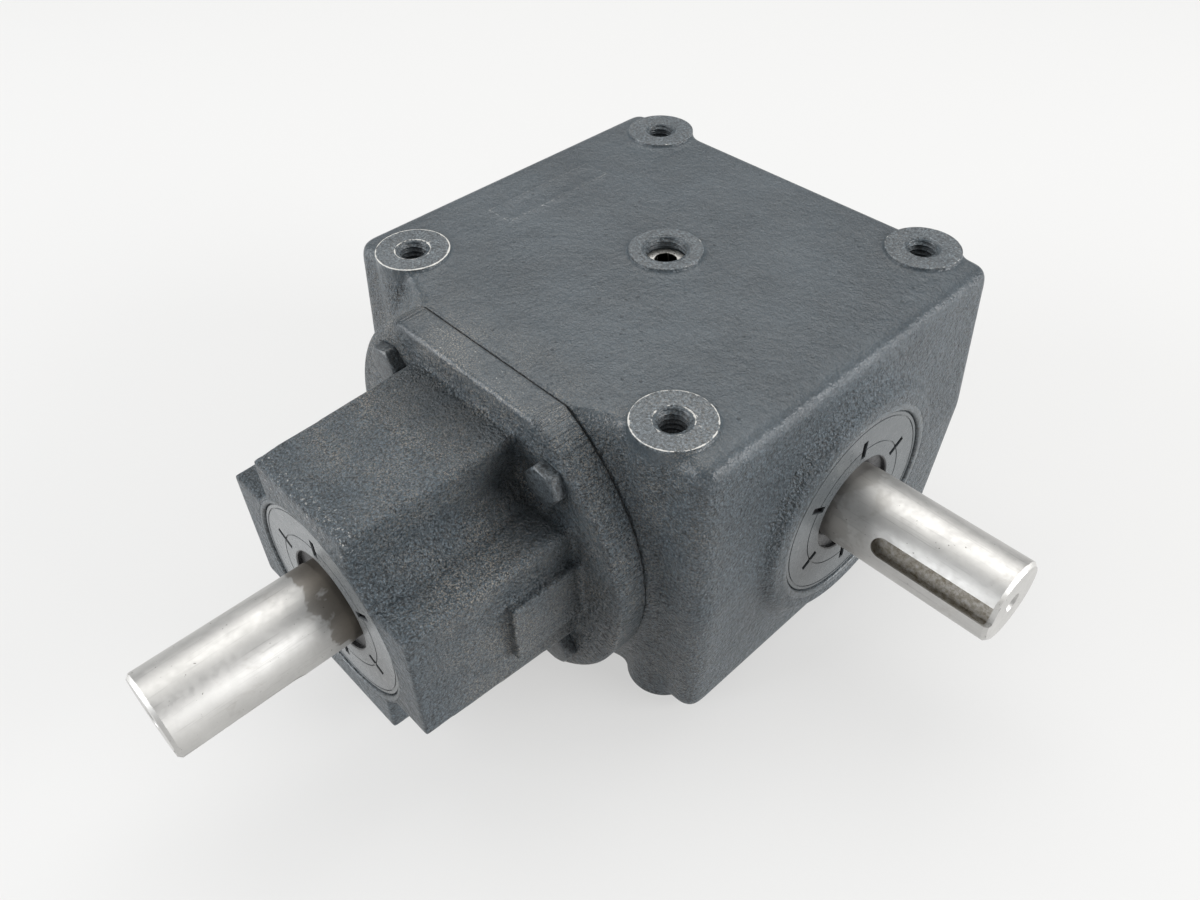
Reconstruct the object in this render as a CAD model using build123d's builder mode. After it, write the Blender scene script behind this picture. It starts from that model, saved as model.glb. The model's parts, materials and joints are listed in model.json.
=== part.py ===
from build123d import *
import math
import os

# Right angle bevel gearbox, 1:1, inch-series shafts and fasteners, millimetres.
# The origin is the centre of the base pad pattern, with Z = 0 on the base pads.
# The output shaft runs along +X and the input shaft comes in along -Y; their axes cross at AXIS_Z.

IN = 25.4

# Case
PATTERN = 4.25 * IN            # corner pad spacing, both ways
AXIS_Z = 52.4                  # shaft axes above the base pads
CASE_Z = 2 * AXIS_Z
PAD_R = 11.4
PAD_RISE = 1.5                 # how far the machined pads stand above the cast skin
MID_X, MID_Y = 75.7, 65.2      # half widths of the case at its parting plane
DRAFT = 3.2                    # casting draft, degrees each side of the parting plane
CORNER_R = 7.5
SKIN_R = 4.4                   # rounding of the top and bottom edges
HALF_Z = AXIS_Z - PAD_RISE     # half height of the cast skin
MOUNT_TAP_R = 0.375 * IN / 2   # 3/8 tapped holes in the corner pads
MOUNT_TAP_DEPTH = 0.75 * IN
TAP_DRILL_R = 5 / 32 * IN      # tap drill, run right through each corner column
PIPE_R = 6.8                   # quarter inch pipe thread in the two centre pads

# Bearing bores
BORE_R = 31.0
BOSS_R = 37.5
BOSS_X = 78.5                  # faces of the output bosses
SEAL_SINK = 0.8
SEAL_T = 7.0

# Input hub
BOLT_CIRCLE_R = 48.8
FLANGE_R = 59.0
CASE_FACE_Y = 67.5             # machined face of the case, as a distance from the axis crossing
GASKET_T = 0.5
FLANGE_T = 10.0
NOSE_Y = 131.0
SPIGOT_R = 41.0
SPIGOT_LEN = 8.0
LOBE_W = 20.2                  # half width of a lobe at the nose
LOBE_REACH = 40.4              # how far a lobe stands from the axis at the nose
CORE_R = 33.4                  # round core between the lobes
LOBE_EDGE_R = 1.2
HUB_DRAFT = 2.0

# Shafts
SHAFT_R = IN / 2
SHAFT_OUT = 2 * IN             # free length of each shaft beyond its bore face
NECK_R = 12.5                  # relieved neck inside each seal
JOURNAL_R = 15.0
KEY_W = IN / 4
KEY_H = IN / 4

# Bevel pair, equal gears on 45 degree pitch cones
TEETH = 24
MODULE = IN / 8
FACE_W = 16.0
BACKLASH = 0.16                # thinning of each tooth along the pitch circle
PRESSURE = math.radians(20)

# Ball bearings, 30 x 62 x 16
BRG_W = 16.0
BRG_IN_R = 15.0
BALL_R = 4.7625
BALL_PITCH_R = 23.0
BALLS = 9
GROOVE_R = 4.905
BALL_PLAY = 0.018

# Places along the axes, as distances from the axis crossing
OUT_BRG = 66.5                 # outer faces of the output bearings
IN_BRG_OUTER = 119.0           # outer face of the outboard input bearing
IN_BRG_INNER = 66.0            # inner face of the inboard input bearing
SHIM_T = 0.5
RING_T = 2.0

FIT = 0.01                     # radial ease of every seated piece
SEAT_R = BORE_R - FIT          # outside of whatever sits in a bearing bore
SEATED_R = JOURNAL_R - FIT     # outside of both shafts where pieces sit on them

CENTRE = Vector(0, 0, AXIS_Z)
OUTPUT = Plane(origin=CENTRE, x_dir=(0, -1, 0), z_dir=(1, 0, 0))
REAR = Plane(origin=CENTRE, x_dir=(0, -1, 0), z_dir=(-1, 0, 0))
INPUT = Plane(origin=CENTRE, x_dir=(-1, 0, 0), z_dir=(0, -1, 0))

os.makedirs("parts", exist_ok=True)


def save(builder, name):
    """Label a finished piece and write it as its own STEP file."""
    builder.part.label = name
    export_step(builder.part, f"parts/{name}.step")


def turned(axis, outline):
    """A solid of revolution about an axis plane's Z from (radius, distance) corners."""
    section = Plane(origin=axis.origin, x_dir=axis.x_dir, z_dir=axis.x_dir.cross(axis.z_dir))
    with BuildPart() as body:
        with BuildSketch(section):
            with BuildLine():
                Polyline(outline, close=True)
            make_face()
        revolve(axis=Axis(axis.origin, axis.z_dir))
    return body


def tube(axis, inner_r, outer_r, start, end):
    """A plain ring about an axis plane, between two distances from the axis crossing."""
    return turned(axis, [(inner_r, start), (outer_r, start), (outer_r, end), (inner_r, end)])



# ---------------------------------------------------------------- gear case
def flared_boss(axis, rim_r, face, root, sweep_r, wall):
    """A round boss whose side sweeps out to the case wall in one concave arc."""
    lift = wall + sweep_r - face
    centre_r = rim_r + math.sqrt(sweep_r**2 - lift**2)
    section = Plane(origin=axis.origin, x_dir=axis.x_dir, z_dir=axis.x_dir.cross(axis.z_dir))
    middle = math.radians(180 + math.degrees(math.asin((1 + lift / sweep_r) / 2)))
    with BuildPart() as boss:
        with BuildSketch(section):
            with BuildLine():
                ThreePointArc(
                    (rim_r, face),
                    (centre_r + sweep_r * math.cos(middle), wall + sweep_r + sweep_r * math.sin(middle)),
                    (centre_r, wall),
                )
                Polyline((centre_r, wall), (centre_r, root), (0, root), (0, face), (rim_r, face))
            make_face()
        revolve(axis=Axis(axis.origin, axis.z_dir))
    return boss


BOSS_ROOT = 45.0               # depth inside the case where the bosses start
output_boss = flared_boss(OUTPUT, BOSS_R, BOSS_X, BOSS_ROOT, sweep_r=10.0, wall=72.5)
rear_boss = flared_boss(REAR, BOSS_R, BOSS_X, BOSS_ROOT, sweep_r=10.0, wall=72.5)
input_boss = flared_boss(INPUT, FLANGE_R, CASE_FACE_Y, BOSS_ROOT, sweep_r=16.0, wall=62.0)

CAVITY_X, CAVITY_Y, CAVITY_Z = 60.0, 50.0, 43.4
CAVITY_R = 28.0
COLLAR_R = 37.0                # inner collars round the output bearings
COLLAR_X = 50.0
FRAME_L, FRAME_W, FRAME_LINE = 42.0, 9.6, 1.0
FRAME_AT = (-51.8, -0.8)

with BuildPart() as housing:
    with BuildSketch(Plane.XY.offset(AXIS_Z)):
        RectangleRounded(2 * MID_X, 2 * MID_Y, CORNER_R)
    extrude(amount=HALF_Z, both=True, taper=DRAFT)
    rims = housing.faces().sort_by(Axis.Z)
    fillet(rims[0].edges() + rims[-1].edges(), radius=SKIN_R)
    add([input_boss.part, output_boss.part, rear_boss.part])
    with BuildSketch(Plane.XY.offset(AXIS_Z)):
        Rectangle(4 * MID_X, 4 * MID_Y)
    extrude(amount=HALF_Z, both=True, mode=Mode.INTERSECT)
    # five pads above and five below, the corner ones as columns through the skin
    with BuildSketch(Plane.XY):
        with GridLocations(PATTERN, PATTERN, 2, 2):
            Circle(PAD_R)
        Circle(PAD_R)
    extrude(amount=CASE_Z)
    # blank raised frame for a casting mark
    with BuildSketch(Plane.XY.offset(CASE_Z - PAD_RISE - 0.5)):
        with Locations(FRAME_AT):
            Rectangle(FRAME_W, FRAME_L)
            Rectangle(FRAME_W - 2 * FRAME_LINE, FRAME_L - 2 * FRAME_LINE, mode=Mode.SUBTRACT)
    extrude(amount=1.0)
    # gear chamber
    with BuildSketch(Plane.XY.offset(AXIS_Z - CAVITY_Z)):
        RectangleRounded(2 * CAVITY_X, 2 * CAVITY_Y, CAVITY_R)
    extrude(amount=2 * CAVITY_Z, mode=Mode.SUBTRACT)
    for side in (OUTPUT, REAR):
        with BuildSketch(side.offset(COLLAR_X)):
            Circle(COLLAR_R)
        extrude(amount=CAVITY_X - COLLAR_X + 1)
        with BuildSketch(side.offset(COLLAR_X - 1)):
            Circle(BORE_R)
        extrude(amount=BOSS_X, mode=Mode.SUBTRACT)
        with BuildSketch(side.offset(OUT_BRG + SHIM_T)):
            Circle(BORE_R + 1.5)
        extrude(amount=RING_T + 0.1, mode=Mode.SUBTRACT)
    # opening for the input hub, and its bolt holes
    with BuildSketch(INPUT.offset(CAVITY_Y - 10)):
        Circle(SPIGOT_R)
    extrude(amount=CASE_FACE_Y, mode=Mode.SUBTRACT)
    with BuildSketch(INPUT.offset(CASE_FACE_Y - 16)):
        with PolarLocations(BOLT_CIRCLE_R, 4, start_angle=45):
            Circle(IN / 8)
    extrude(amount=20, mode=Mode.SUBTRACT)
    # tapped holes in the corner pads and the pipe threads of the centre pads
    for face, way in ((0, 1), (CASE_Z, -1)):
        with BuildSketch(Plane.XY.offset(face)):
            with GridLocations(PATTERN, PATTERN, 2, 2):
                Circle(MOUNT_TAP_R)
        extrude(amount=way * MOUNT_TAP_DEPTH, mode=Mode.SUBTRACT)
    with BuildSketch(Plane.XY):
        with GridLocations(PATTERN, PATTERN, 2, 2):
            Circle(TAP_DRILL_R)
        Circle(PIPE_R)
    extrude(amount=CASE_Z, mode=Mode.SUBTRACT)
save(housing, "housing")

# ---------------------------------------------------------------- input hub and its fasteners
BOLT_R = IN / 8
BOLT_AF = 7 / 16 * IN
BOLT_HEAD = 4.0
BOLT_LEN = 0.75 * IN
HUB_ROOT_Y = CASE_FACE_Y + GASKET_T
FLANGE_Y = HUB_ROOT_Y + FLANGE_T
HUB_GROW = (NOSE_Y - FLANGE_Y) * math.tan(math.radians(HUB_DRAFT))
LIP_R = 27.0                   # opening in the shoulder behind the inboard bearing
SIDE_PAD_L, SIDE_PAD_W, SIDE_PAD_X = 24.0, 20.5, 45.0

with BuildPart() as input_hub:
    with BuildSketch(INPUT.offset(HUB_ROOT_Y)):
        Circle(FLANGE_R)
        Rectangle(2 * FLANGE_R, 2 * HALF_Z, mode=Mode.INTERSECT)
    extrude(amount=FLANGE_T)
    chamfer(input_hub.faces().sort_by(Axis.Y)[0].edges(), length=1.0)
    # four lobes round a core, tapering towards the nose
    with BuildSketch(INPUT.offset(FLANGE_Y)):
        Rectangle(2 * (LOBE_W + HUB_GROW), 2 * (LOBE_REACH + HUB_GROW))
        Rectangle(2 * (LOBE_REACH + HUB_GROW), 2 * (LOBE_W + HUB_GROW))
        fillet(vertices().sort_by(lambda v: v.distance_to(CENTRE))[-8:], radius=LOBE_EDGE_R)
        Circle(CORE_R + HUB_GROW)
    extrude(amount=NOSE_Y - FLANGE_Y, taper=HUB_DRAFT)
    # raised cast pad on the +X lobe
    with BuildSketch(Plane.YZ.offset(LOBE_REACH - 5)):
        with Locations((-FLANGE_Y - SIDE_PAD_L / 2, AXIS_Z)):
            Rectangle(SIDE_PAD_L, SIDE_PAD_W)
    extrude(amount=SIDE_PAD_X - LOBE_REACH + 5)
    # spigot into the case, bearing bore with its shoulder, seal-side ring groove, bolt holes
    with BuildSketch(INPUT.offset(HUB_ROOT_Y - SPIGOT_LEN)):
        Circle(SPIGOT_R - 0.03)
    extrude(amount=SPIGOT_LEN)
    with BuildSketch(INPUT.offset(IN_BRG_INNER)):
        Circle(BORE_R)
    extrude(amount=NOSE_Y, mode=Mode.SUBTRACT)
    with BuildSketch(INPUT.offset(HUB_ROOT_Y - SPIGOT_LEN)):
        Circle(LIP_R)
    extrude(amount=SPIGOT_LEN, mode=Mode.SUBTRACT)
    with BuildSketch(INPUT.offset(IN_BRG_OUTER + SHIM_T)):
        Circle(BORE_R + 1.4)
    extrude(amount=RING_T + 0.1, mode=Mode.SUBTRACT)
    with BuildSketch(INPUT.offset(HUB_ROOT_Y)):
        with PolarLocations(BOLT_CIRCLE_R, 4, start_angle=45):
            Circle(BOLT_R + 0.25)
    extrude(amount=FLANGE_T, mode=Mode.SUBTRACT)
save(input_hub, "input_hub")

with BuildPart() as hub_gasket:
    with BuildSketch(INPUT.offset(CASE_FACE_Y)):
        Circle(FLANGE_R - 0.8)
        Rectangle(2 * FLANGE_R, 2 * HALF_Z - 1.6, mode=Mode.INTERSECT)
        Circle(SPIGOT_R + 0.4, mode=Mode.SUBTRACT)
        with PolarLocations(BOLT_CIRCLE_R, 4, start_angle=45):
            Circle(BOLT_R + 0.4, mode=Mode.SUBTRACT)
    extrude(amount=GASKET_T)
save(hub_gasket, "hub_gasket")

with BuildPart() as hub_bolts:
    with BuildSketch(INPUT.offset(FLANGE_Y)):
        with PolarLocations(BOLT_CIRCLE_R, 4, start_angle=45):
            RegularPolygon(BOLT_AF / 2, 6, major_radius=False, rotation=20)
    extrude(amount=BOLT_HEAD)
    with BuildSketch(INPUT.offset(FLANGE_Y - BOLT_LEN)):
        with PolarLocations(BOLT_CIRCLE_R, 4, start_angle=45):
            Circle(BOLT_R - 0.01)
    extrude(amount=BOLT_LEN)
save(hub_bolts, "hub_bolts")

# ---------------------------------------------------------------- oil plugs
PLUG_DEPTH = 4.0               # how far the plugs sit below the pad faces
PLUG_L = 7.0
PLUG_HEX = IN / 4

with BuildPart() as oil_plugs:
    for face, inward in ((0, 1), (CASE_Z, -1)):
        with BuildSketch(Plane.XY.offset(face + inward * PLUG_DEPTH)):
            Circle(PIPE_R - 0.01)
        extrude(amount=inward * PLUG_L)
    chamfer(oil_plugs.edges().filter_by(GeomType.CIRCLE), length=0.7)
    for face, inward in ((0, 1), (CASE_Z, -1)):
        with BuildSketch(Plane.XY.offset(face + inward * PLUG_DEPTH)):
            RegularPolygon(PLUG_HEX / 2, 6, major_radius=False)
        extrude(amount=inward * 5.0, mode=Mode.SUBTRACT)
save(oil_plugs, "oil_plugs")

# ---------------------------------------------------------------- ball bearings
CAGE_HALF = 1.3                # half the cage's radial thickness
CAGE_L = 12.6
RING_LAND_IN, RING_LAND_OUT = 19.6, 26.4


def groove(axis, middle, bottom_r, outward):
    """The ball track to cut from a ring: a torus that touches the track bottom."""
    with BuildPart(axis.offset(middle)) as track:
        Torus(bottom_r + outward * GROOVE_R, GROOVE_R)
    return track


def bearing(axis, start, name):
    """One deep groove ball bearing, written as inner ring, outer ring, cage and balls."""
    middle = start + BRG_W / 2
    inner = tube(axis, BRG_IN_R, RING_LAND_IN, start, start + BRG_W)
    outer = tube(axis, RING_LAND_OUT, SEAT_R, start, start + BRG_W)
    inner_track = groove(axis, middle, BALL_PITCH_R - BALL_R - BALL_PLAY, 1)
    outer_track = groove(axis, middle, BALL_PITCH_R + BALL_R + BALL_PLAY, -1)
    with BuildPart() as inner_ring:
        add(inner.part)
        chamfer(inner_ring.edges().filter_by(GeomType.CIRCLE), length=0.6)
        add(inner_track.part, mode=Mode.SUBTRACT)
    with BuildPart() as outer_ring:
        add(outer.part)
        chamfer(outer_ring.edges().filter_by(GeomType.CIRCLE), length=0.6)
        add(outer_track.part, mode=Mode.SUBTRACT)
    with BuildPart(axis.offset(middle)) as balls:
        with PolarLocations(BALL_PITCH_R, BALLS):
            Sphere(BALL_R)
    with BuildPart(axis.offset(middle)) as cage:
        Cylinder(BALL_PITCH_R + CAGE_HALF, CAGE_L)
        Cylinder(BALL_PITCH_R - CAGE_HALF, CAGE_L, mode=Mode.SUBTRACT)
        with PolarLocations(BALL_PITCH_R, BALLS):
            Cylinder(BALL_R + 0.12, 4 * CAGE_HALF, rotation=(0, 90, 0), mode=Mode.SUBTRACT)
    save(inner_ring, f"{name}_bearing_inner_ring")
    save(outer_ring, f"{name}_bearing_outer_ring")
    save(balls, f"{name}_bearing_balls")
    save(cage, f"{name}_bearing_cage")


bearing(OUTPUT, OUT_BRG - BRG_W, "output_front")
bearing(REAR, OUT_BRG - BRG_W, "output_rear")
bearing(INPUT, IN_BRG_OUTER - BRG_W, "input_outboard")
bearing(INPUT, IN_BRG_INNER, "input_inboard")


# ---------------------------------------------------------------- rings and shims
def bore_ring(axis, start, name):
    """An internal retaining ring, open at one side with two eyed lugs."""
    eye_r, lug_r, split = 1.1, 3.0, 7.0
    with BuildPart() as ring:
        with BuildSketch(axis.offset(start)):
            Circle(BORE_R + 1.3)
            Circle(BORE_R - 2.6, mode=Mode.SUBTRACT)
            with Locations((0, BORE_R)):
                Rectangle(2 * split, 9, mode=Mode.SUBTRACT)
            with Locations((-split - 1, BORE_R - 3.4), (split + 1, BORE_R - 3.4)):
                Circle(lug_r)
                Circle(eye_r, mode=Mode.SUBTRACT)
        extrude(amount=RING_T)
    save(ring, name)


def shaft_ring(axis, start, name):
    """An external retaining ring in its shaft groove."""
    with BuildPart() as ring:
        with BuildSketch(axis.offset(start)):
            Circle(JOURNAL_R + 3.0)
            Circle(JOURNAL_R - 0.95, mode=Mode.SUBTRACT)
            with Locations((0, JOURNAL_R + 1)):
                Rectangle(8, 9, mode=Mode.SUBTRACT)
        extrude(amount=1.5)
    save(ring, name)


bore_ring(OUTPUT, OUT_BRG + SHIM_T, "output_front_bore_ring")
bore_ring(REAR, OUT_BRG + SHIM_T, "output_rear_bore_ring")
bore_ring(INPUT, IN_BRG_OUTER + SHIM_T, "hub_bore_ring")
shaft_ring(OUTPUT, OUT_BRG, "output_front_shaft_ring")
shaft_ring(REAR, OUT_BRG, "output_rear_shaft_ring")
shaft_ring(INPUT, IN_BRG_OUTER, "input_shaft_ring")
save(tube(OUTPUT, 27.5, SEAT_R, OUT_BRG, OUT_BRG + SHIM_T), "output_front_shim")
save(tube(REAR, 27.5, SEAT_R, OUT_BRG, OUT_BRG + SHIM_T), "output_rear_shim")
save(tube(INPUT, 27.5, SEAT_R, IN_BRG_OUTER, IN_BRG_OUTER + SHIM_T), "hub_shim")

# ---------------------------------------------------------------- seals and closing cap
LIP_GAP = 0.03
SPRING_R = 0.8
SPRING_PITCH_R, SPRING_DEPTH = 17.9, 5.9
SEAL_STEP = SEAL_SINK + 3.9    # the shafts step down inside the seals, this far below the faces
MARK_W = 0.4


def shaft_seal(axis, face, name):
    """A lip seal with an outer wiper, six slots in its face, and its garter spring."""
    def at(radius, depth):
        return (radius, face - depth)

    lip_r, wiper_r = JOURNAL_R + LIP_GAP, NECK_R + LIP_GAP
    body = turned(axis, [
        at(SEAT_R, 0.6), at(SEAT_R - 0.5, 0), at(16.3, 0), at(15.9, 0.3), at(15.8, 1.5), at(13.4, 2.2),
        at(wiper_r, 2.5), at(wiper_r, 2.8), at(14.0, 3.0), at(16.9, 3.4), at(17.0, 4.1), at(lip_r, 5.0),
        at(lip_r, 5.3), at(16.3, 6.8), at(19.2, 6.8), at(19.2, 6.2), at(18.4, 3.6), at(19.5, 2.8),
        at(27.0, 2.8), at(28.4, 3.6), at(28.4, SEAL_T), at(SEAT_R - 0.4, SEAL_T), at(SEAT_R, SEAL_T - 0.4),
    ])
    marks = [tube(axis, r, r + MARK_W, face - 0.3, face) for r in (20.9, 29.2)]
    with BuildPart(axis.offset(face - SPRING_DEPTH)) as spring:
        Torus(SPRING_PITCH_R, SPRING_R)
    with BuildPart(axis.offset(face - SPRING_DEPTH)) as spring_seat:
        Torus(SPRING_PITCH_R, SPRING_R + 0.02)
    with BuildPart() as seal:
        add(body.part)
        for cut in marks + [spring_seat]:
            add(cut.part, mode=Mode.SUBTRACT)
        with BuildSketch(axis.offset(face - 1.6)):
            with PolarLocations(21.4, 6, start_angle=30):
                Rectangle(6.4, 2.1)
        extrude(amount=1.6, mode=Mode.SUBTRACT)
    save(seal, name)
    save(spring, f"{name}_spring")


shaft_seal(OUTPUT, BOSS_X - SEAL_SINK, "output_seal")
shaft_seal(INPUT, NOSE_Y - SEAL_SINK, "input_seal")

CAP_FACE = BOSS_X - SEAL_SINK
save(turned(REAR, [
    (0, CAP_FACE - 2.2), (24.5, CAP_FACE - 2.2), (27.0, CAP_FACE), (SEAT_R - 0.6, CAP_FACE),
    (SEAT_R, CAP_FACE - 0.6), (SEAT_R, CAP_FACE - SEAL_T), (27.5, CAP_FACE - SEAL_T),
    (26.0, CAP_FACE - 4.4), (0, CAP_FACE - 4.4),
]), "rear_closing_cap")

# ---------------------------------------------------------------- bevel pair
PITCH_R = TEETH * MODULE / 2
CONE = math.radians(45)
CONE_D = PITCH_R / math.sin(CONE)
BACK_R = PITCH_R / math.cos(CONE)          # pitch radius developed on the back cone
BASE_R = BACK_R * math.cos(PRESSURE)
ADDENDUM, DEDENDUM = MODULE, 1.25 * MODULE
GEAR_FACE = 25.8               # front of each gear's hub, from the axis crossing
NUT_T, WASHER_T = 7.0, 1.2


def involute(angle):
    return math.tan(angle) - angle


def gap_half_angle(radius):
    """Half the width of a tooth gap, as an angle on the developed back cone."""
    pressure = math.acos(min(1.0, BASE_R / radius))
    tooth = (math.pi * MODULE / 2 - BACKLASH) / (2 * BACK_R) + involute(PRESSURE) - involute(pressure)
    return math.pi * MODULE / (2 * BACK_R) - tooth


def on_tangent_plane(radius, angle, scale):
    """A back cone point, carried along its ray from the apex to the plane across the pitch line."""
    turn = angle / math.cos(CONE)
    flat_r = radius * math.cos(CONE)
    height = PITCH_R / math.tan(CONE) + (BACK_R - radius) * math.sin(CONE)
    x, y = flat_r * math.cos(turn), flat_r * math.sin(turn)
    along = CONE_D * scale / (x * math.sin(CONE) + height * math.cos(CONE))
    return (y * along, (height * math.sin(CONE) - x * math.cos(CONE)) * along)


ROOT_R, TOP_R = BACK_R - DEDENDUM, BACK_R + 1.6 * ADDENDUM
FLANK = [ROOT_R + (TOP_R - ROOT_R) * step / 7 for step in range(8)]

with BuildPart() as tooth_gap:
    for scale in (1.08, 0.62):
        centre = Vector(math.sin(CONE), 0, math.cos(CONE)) * CONE_D * scale
        with BuildSketch(Plane(origin=centre, x_dir=(0, 1, 0), z_dir=centre)):
            with BuildLine():
                right = Spline([on_tangent_plane(r, gap_half_angle(r), scale) for r in FLANK])
                left = Spline([on_tangent_plane(r, -gap_half_angle(r), scale) for r in FLANK])
                Line(right @ 0, left @ 0)
                Line(right @ 1, left @ 1)
            make_face()
    loft(ruled=True)


def cone_point(radius, shrink=1.0):
    """(radius, height) of a developed back cone radius, scaled towards the apex."""
    height = PITCH_R / math.tan(CONE) + (BACK_R - radius) * math.sin(CONE)
    return (radius * math.cos(CONE) * shrink, height * shrink)


def bevel_gear(axis, first_gap, hub_r, hub_end):
    """A straight bevel gear with its apex at the axis crossing and a keyed bore."""
    shrink = (CONE_D - FACE_W) / CONE_D
    tip, root = BACK_R + ADDENDUM, BACK_R - DEDENDUM
    rim_r, rim_z = cone_point(root - 3.0)
    front_r, front_z = cone_point(root, shrink)
    blank = turned(Plane.XY, [
        (JOURNAL_R, GEAR_FACE), (20.5, GEAR_FACE), (21.5, front_z), (front_r, front_z),
        cone_point(tip, shrink), cone_point(tip), (rim_r, rim_z),
        (hub_r + 3, rim_z), (hub_r, rim_z + 3), (hub_r, hub_end), (JOURNAL_R, hub_end),
    ])
    with BuildPart(axis) as gear:
        add(blank.part)
        with PolarLocations(0, TEETH, start_angle=first_gap):
            add(tooth_gap.part, mode=Mode.SUBTRACT)
        with BuildSketch(axis.offset(GEAR_FACE)):
            with Locations((0, JOURNAL_R)):
                Rectangle(KEY_W + 0.04, KEY_H + 0.4)
        extrude(amount=hub_end - GEAR_FACE, mode=Mode.SUBTRACT)
    return gear


HALF_TOOTH = 180 / TEETH
output_gear = bevel_gear(REAR, HALF_TOOTH, 20.0, OUT_BRG - BRG_W)
input_pinion = bevel_gear(INPUT, 0, 20.0, IN_BRG_INNER)
save(output_gear, "output_gear")
save(input_pinion, "input_pinion")

# ---------------------------------------------------------------- shafts and what sits on them
KEYWAY_DEPTH = 3.2
OUTPUT_KEY_ANGLE, OUTPUT_KEY_FROM = -17, BOSS_X + 13.5
INPUT_KEY_ANGLE, INPUT_KEY_FROM = 145, NOSE_Y + 15
GEAR_KEY_MID, PINION_KEY_MID = 38.0, 44.0
GEAR_KEY_L, PINION_KEY_L = 20.0, 28.0
SEAT_DEPTH = KEY_H / 2 + 0.02
RING_GROOVE_R, RING_GROOVE_W = 14.0, 1.6
OUT_SHAFT_END = BOSS_X + SHAFT_OUT
IN_SHAFT_END = NOSE_Y + SHAFT_OUT
REAR_SHAFT_END = 69.0
NUT_FACE = GEAR_FACE - WASHER_T - NUT_T


def facing(axis, degrees, height):
    """A plane at this height above an axis, facing outwards, with local x along the axis."""
    turn = math.radians(degrees)
    out = axis.x_dir * math.cos(turn) + axis.y_dir * math.sin(turn)
    return Plane(origin=axis.origin + out * height, x_dir=axis.z_dir, z_dir=out)


def slot(axis, degrees, floor, start, end, width, height):
    """A round-ended bar lying along an axis, used for key seats and for keys."""
    with BuildPart() as bar:
        with BuildSketch(facing(axis, degrees, floor)):
            with Locations(((start + end) / 2, 0)):
                SlotOverall(end - start, width)
        extrude(amount=height)
    return bar


def shaft(axis, start, face, end, grooves, seat, keyway):
    """A stepped shaft with ring grooves, a seat for the inner key and an open keyway outside."""
    step = face - SEAL_STEP
    ring_cuts = [tube(axis, RING_GROOVE_R, JOURNAL_R + 2, at, at + RING_GROOVE_W) for at in grooves]
    seat_angle, seat_from, seat_to = seat
    seat_cut = slot(axis, seat_angle, JOURNAL_R - SEAT_DEPTH, seat_from, seat_to, KEY_W + 0.02, 6)
    key_angle, key_from = keyway
    key_cut = slot(axis, key_angle, SHAFT_R - KEYWAY_DEPTH, key_from, end + 12, KEY_W, 6)
    seam = facing(axis, key_angle - 5, 0).z_dir
    body = turned(Plane(origin=axis.origin, x_dir=seam, z_dir=axis.z_dir), [
        (0, start), (SEATED_R - 0.8, start), (SEATED_R, start + 0.8), (SEATED_R, step), (NECK_R, step),
        (NECK_R, face), (SHAFT_R, face),
        (SHAFT_R, end - 1), (SHAFT_R - 1, end), (3.2, end), (1.6, end - 2.8), (1.6, end - 6), (0, end - 7),
    ])
    with BuildPart() as finished:
        add(body.part)
        for cut in ring_cuts + [seat_cut, key_cut]:
            add(cut.part, mode=Mode.SUBTRACT)
    return finished


save(shaft(
    OUTPUT, -REAR_SHAFT_END, BOSS_X, OUT_SHAFT_END,
    (-OUT_BRG - RING_GROOVE_W, OUT_BRG),
    (-90, -GEAR_KEY_MID - GEAR_KEY_L / 2 - 0.05, -GEAR_KEY_MID + GEAR_KEY_L / 2 + 0.05),
    (OUTPUT_KEY_ANGLE, OUTPUT_KEY_FROM),
), "output_shaft")
save(shaft(
    INPUT, NUT_FACE, NOSE_Y, IN_SHAFT_END,
    (IN_BRG_OUTER,),
    (90, PINION_KEY_MID - PINION_KEY_L / 2 - 0.05, PINION_KEY_MID + PINION_KEY_L / 2 + 0.05),
    (INPUT_KEY_ANGLE, INPUT_KEY_FROM),
), "input_shaft")
KEY_FLOOR = JOURNAL_R - KEY_H / 2
save(slot(
    OUTPUT, -90, KEY_FLOOR, -GEAR_KEY_MID - GEAR_KEY_L / 2, -GEAR_KEY_MID + GEAR_KEY_L / 2, KEY_W, KEY_H,
), "output_gear_key")
save(slot(
    INPUT, 90, KEY_FLOOR, PINION_KEY_MID - PINION_KEY_L / 2, PINION_KEY_MID + PINION_KEY_L / 2, KEY_W, KEY_H,
), "pinion_key")

save(tube(OUTPUT, JOURNAL_R, 16.5, -GEAR_FACE, OUT_BRG - BRG_W), "output_spacer")
save(tube(INPUT, JOURNAL_R, 18.5, IN_BRG_INNER + BRG_W, IN_BRG_OUTER - BRG_W), "input_spacer")
save(tube(INPUT, 27.0, SEAT_R, IN_BRG_INNER + BRG_W, IN_BRG_OUTER - BRG_W), "hub_spacer_sleeve")

NUT_R = 22.0
with BuildPart() as pinion_locknut:
    with BuildSketch(INPUT.offset(NUT_FACE)):
        Circle(NUT_R)
        Circle(JOURNAL_R, mode=Mode.SUBTRACT)
        with PolarLocations(NUT_R, 4):
            Rectangle(4, 5, mode=Mode.SUBTRACT)
    extrude(amount=NUT_T)
save(pinion_locknut, "pinion_locknut")

with BuildPart() as pinion_lock_washer:
    with BuildSketch(INPUT.offset(GEAR_FACE - WASHER_T)):
        Circle(20.0)
        with PolarLocations(20.0, 11):
            Rectangle(5, 3.4)
        Circle(JOURNAL_R, mode=Mode.SUBTRACT)
    extrude(amount=WASHER_T)
save(pinion_lock_washer, "pinion_lock_washer")
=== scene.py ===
import json
import math

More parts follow.
